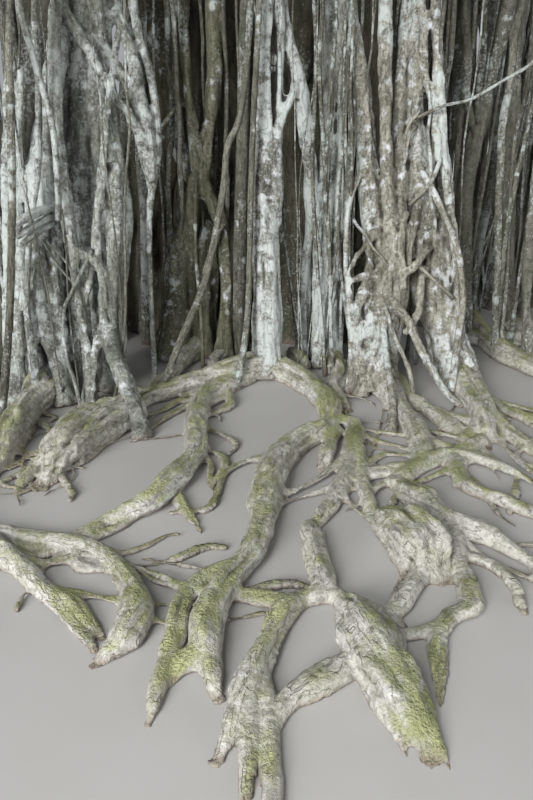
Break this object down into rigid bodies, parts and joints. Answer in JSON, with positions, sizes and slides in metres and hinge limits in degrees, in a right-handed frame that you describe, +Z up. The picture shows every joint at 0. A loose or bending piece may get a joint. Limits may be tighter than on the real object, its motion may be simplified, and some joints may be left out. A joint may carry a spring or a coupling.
{
  "type": "banyan tree",
  "caption": "Old banyan tree with a fluted trunk among rope-like pillar roots, a skirt of surface roots, spreading boughs and a broad dome of leaf masses.",
  "frame": {"origin": "ground level, inside the flat cut under the trunk", "axes": "+Z up the trunk; the tree is mostly seen from its -Y side, with +X to the right"},
  "size_m": [19.0932, 19.3329, 13.0578],
  "materials": {
    "bark": "rough grey-brown bark with pale lichen and green algae",
    "mossy_bark": "rough brown-grey bark with moss on its upper side",
    "foliage": "leathery mid-green leaves on brown twigs"
  },
  "bodies": {
    "root": {"trunk": "bark", "bough_front_left": "bark", "bough_front": "bark", "bough_front_right": "bark", "bough_right": "bark", "bough_back_right": "bark", "bough_back": "bark", "bough_back_left": "bark", "bough_left": "bark", "upper_bough_1": "bark", "upper_bough_2": "bark", "upper_bough_3": "bark", "upper_bough_4": "bark", "upper_bough_5": "bark", "leader": "bark", "left_trunk": "bark", "right_trunk": "bark", "middle_stem": "bark", "middle_bundle": "bark", "grey_stem": "bark", "green_stem": "bark", "right_edge_stem": "bark", "left_edge_stem": "bark", "left_side_stem": "bark", "back_left_stem": "bark", "back_stem": "bark", "back_right_stem": "bark", "prop_root_right": "bark", "prop_root_back_right": "bark", "prop_root_back": "bark", "prop_root_back_left": "bark", "prop_root_left": "bark", "crossing_root": "bark", "green_aerial_root": "bark", "left_aerial_root": "bark", "front_roots": "mossy_bark", "front_left_roots": "mossy_bark", "left_front_roots": "mossy_bark", "front_right_roots": "mossy_bark", "right_roots": "mossy_bark", "back_right_roots": "mossy_bark", "back_roots": "mossy_bark", "back_left_roots": "mossy_bark", "left_roots": "mossy_bark", "foliage_front_left": "foliage", "foliage_front": "foliage", "foliage_front_right": "foliage", "foliage_right": "foliage", "foliage_back_right": "foliage", "foliage_back": "foliage", "foliage_back_left": "foliage", "foliage_left": "foliage", "upper_foliage_1": "foliage", "upper_foliage_2": "foliage", "upper_foliage_3": "foliage", "upper_foliage_4": "foliage", "upper_foliage_5": "foliage", "top_foliage": "foliage"}
  },
  "joints": []
}
